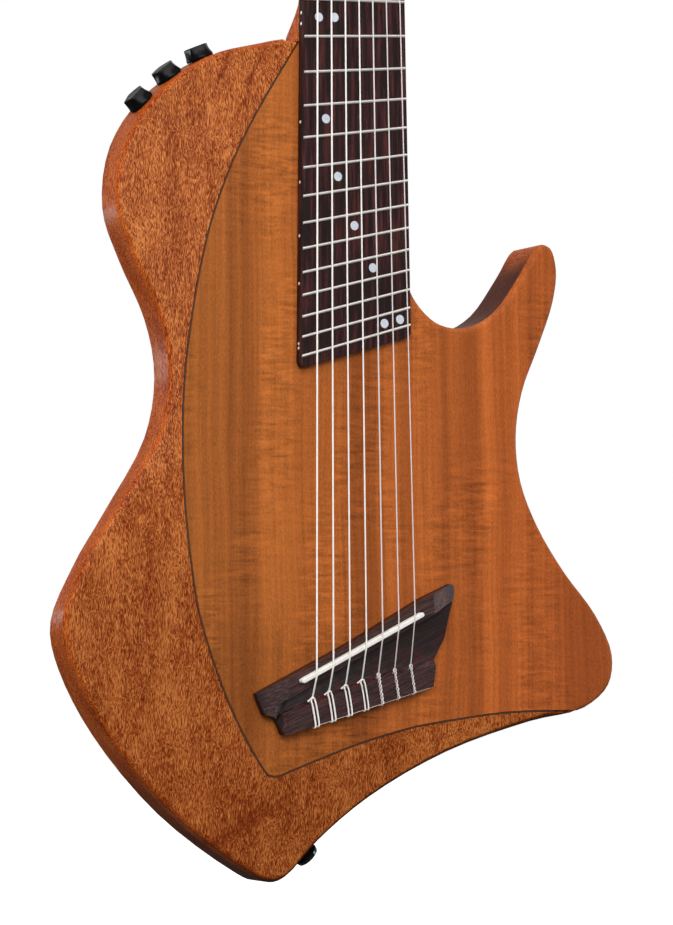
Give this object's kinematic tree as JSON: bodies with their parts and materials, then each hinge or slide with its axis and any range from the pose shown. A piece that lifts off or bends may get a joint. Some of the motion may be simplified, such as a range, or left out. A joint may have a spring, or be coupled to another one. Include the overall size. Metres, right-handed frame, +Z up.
{
  "type": "electric nylon-string guitar",
  "caption": "Solid-body electric guitar with nylon strings, fanned frets, an offset body with a bevelled bass side, a tie-block bridge and a slotted headstock with worm-gear tuners.",
  "frame": {"origin": "between the ears of the headstock, where a wall hanger's arms carry the guitar", "axes": "+Z up the neck towards the headstock, -Y out of the player's front, +X towards the treble strings"},
  "size_m": [0.3373, 0.0771, 0.988],
  "materials": {
    "mahogany": "satin lacquer",
    "koa": "satin lacquer",
    "black_line": "satin",
    "mahogany_neck": "satin lacquer",
    "ebony": "oiled, with nickel silver frets",
    "rosewood": "oiled",
    "bone": "polished",
    "nylon": "clear",
    "gold": "polished",
    "steel": "brushed",
    "pearl": "polished",
    "black_plastic": "satin",
    "black_gloss": "gloss",
    "green_board": "satin"
  },
  "bodies": {
    "guitar": {"battery": "steel", "body": "mahogany", "bridge": "rosewood", "control_cover": "black_plastic", "fretboard": "ebony", "neck": "mahogany_neck", "nut": "bone", "output_jack": "gold", "pot_1": "steel", "pot_2": "steel", "pot_3": "steel", "preamp_board": "green_board", "purfling": "black_line", "saddle": "bone", "saddle_pickup": "black_plastic", "strap_button_heel": "black_gloss", "strap_button_tail": "black_gloss", "string_1": "nylon", "string_2": "nylon", "string_3": "nylon", "string_4": "nylon", "string_5": "nylon", "string_6": "nylon", "string_7": "nylon", "top_plate": "koa", "truss_rod": "steel", "truss_rod_cover": "black_plastic", "tuner_plate_bass": "gold", "tuner_plate_treble": "gold"},
    "control_1": {"knob_1": "black_plastic"},
    "control_2": {"knob_2": "black_plastic"},
    "control_3": {"knob_3": "black_plastic"},
    "roller_1": {"tuner_roller_1": "bone", "tuner_gear_1": "gold"},
    "key_1": {"tuner_worm_1": "steel", "tuner_button_1": "pearl"},
    "roller_2": {"tuner_roller_2": "bone", "tuner_gear_2": "gold"},
    "key_2": {"tuner_worm_2": "steel", "tuner_button_2": "pearl"},
    "roller_3": {"tuner_roller_3": "bone", "tuner_gear_3": "gold"},
    "key_3": {"tuner_worm_3": "steel", "tuner_button_3": "pearl"},
    "roller_4": {"tuner_roller_4": "bone", "tuner_gear_4": "gold"},
    "key_4": {"tuner_worm_4": "steel", "tuner_button_4": "pearl"},
    "roller_5": {"tuner_roller_5": "bone", "tuner_gear_5": "gold"},
    "key_5": {"tuner_worm_5": "steel", "tuner_button_5": "pearl"},
    "roller_6": {"tuner_roller_6": "bone", "tuner_gear_6": "gold"},
    "key_6": {"tuner_worm_6": "steel", "tuner_button_6": "pearl"},
    "roller_7": {"tuner_roller_7": "bone", "tuner_gear_7": "gold"},
    "key_7": {"tuner_worm_7": "steel", "tuner_button_7": "pearl"}
  },
  "joints": [
    {"name": "knob_1_turn", "type": "hinge", "parent": "guitar", "child": "control_1", "pos_m": [-0.11679, 0.00878, -0.41204], "axis": [-0.7517, 0, 0.6595], "range_deg": [-140, 140]},
    {"name": "knob_2_turn", "type": "hinge", "parent": "guitar", "child": "control_2", "pos_m": [-0.10072, 0.00838, -0.39694], "axis": [-0.6302, 0, 0.7764], "range_deg": [-140, 140]},
    {"name": "knob_3_turn", "type": "hinge", "parent": "guitar", "child": "control_3", "pos_m": [-0.08266, 0.00783, -0.38526], "axis": [-0.4034, 0, 0.915], "range_deg": [-140, 140]},
    {"name": "roller_1_turn", "type": "hinge", "parent": "guitar", "child": "roller_1", "pos_m": [0.0168, 0.01003, 0.04952], "axis": [1, 0, 0], "continuous": true},
    {"name": "key_1_turn", "type": "hinge", "parent": "guitar", "child": "key_1", "pos_m": [0.042, 0.00861, 0.04144], "axis": [0, 0.9848, -0.1736], "continuous": true},
    {"name": "roller_2_turn", "type": "hinge", "parent": "guitar", "child": "roller_2", "pos_m": [0.0168, 0.01559, 0.08103], "axis": [1, 0, 0], "continuous": true},
    {"name": "key_2_turn", "type": "hinge", "parent": "guitar", "child": "key_2", "pos_m": [0.042, 0.01417, 0.07296], "axis": [0, 0.9848, -0.1736], "continuous": true},
    {"name": "roller_3_turn", "type": "hinge", "parent": "guitar", "child": "roller_3", "pos_m": [0.0168, 0.02115, 0.11255], "axis": [1, 0, 0], "continuous": true},
    {"name": "key_3_turn", "type": "hinge", "parent": "guitar", "child": "key_3", "pos_m": [0.042, 0.01972, 0.10447], "axis": [0, 0.9848, -0.1736], "continuous": true},
    {"name": "roller_4_turn", "type": "hinge", "parent": "guitar", "child": "roller_4", "pos_m": [-0.0168, 0.02393, 0.1283], "axis": [1, 0, 0], "continuous": true},
    {"name": "key_4_turn", "type": "hinge", "parent": "guitar", "child": "key_4", "pos_m": [-0.042, 0.0225, 0.12023], "axis": [0, 0.9848, -0.1736], "continuous": true},
    {"name": "roller_5_turn", "type": "hinge", "parent": "guitar", "child": "roller_5", "pos_m": [-0.0168, 0.01837, 0.09679], "axis": [1, 0, 0], "continuous": true},
    {"name": "key_5_turn", "type": "hinge", "parent": "guitar", "child": "key_5", "pos_m": [-0.042, 0.01695, 0.08871], "axis": [0, 0.9848, -0.1736], "continuous": true},
    {"name": "roller_6_turn", "type": "hinge", "parent": "guitar", "child": "roller_6", "pos_m": [-0.0168, 0.01281, 0.06527], "axis": [1, 0, 0], "continuous": true},
    {"name": "key_6_turn", "type": "hinge", "parent": "guitar", "child": "key_6", "pos_m": [-0.042, 0.01139, 0.0572], "axis": [0, 0.9848, -0.1736], "continuous": true},
    {"name": "roller_7_turn", "type": "hinge", "parent": "guitar", "child": "roller_7", "pos_m": [-0.0168, 0.00726, 0.03376], "axis": [1, 0, 0], "continuous": true},
    {"name": "key_7_turn", "type": "hinge", "parent": "guitar", "child": "key_7", "pos_m": [-0.042, 0.00583, 0.02569], "axis": [0, 0.9848, -0.1736], "continuous": true}
  ],
  "couplings": [
    {"joint": "roller_1_turn", "follows": "key_1_turn", "ratio": -0.071429},
    {"joint": "roller_2_turn", "follows": "key_2_turn", "ratio": -0.071429},
    {"joint": "roller_3_turn", "follows": "key_3_turn", "ratio": -0.071429},
    {"joint": "roller_4_turn", "follows": "key_4_turn", "ratio": -0.071429},
    {"joint": "roller_5_turn", "follows": "key_5_turn", "ratio": -0.071429},
    {"joint": "roller_6_turn", "follows": "key_6_turn", "ratio": -0.071429},
    {"joint": "roller_7_turn", "follows": "key_7_turn", "ratio": -0.071429}
  ]
}
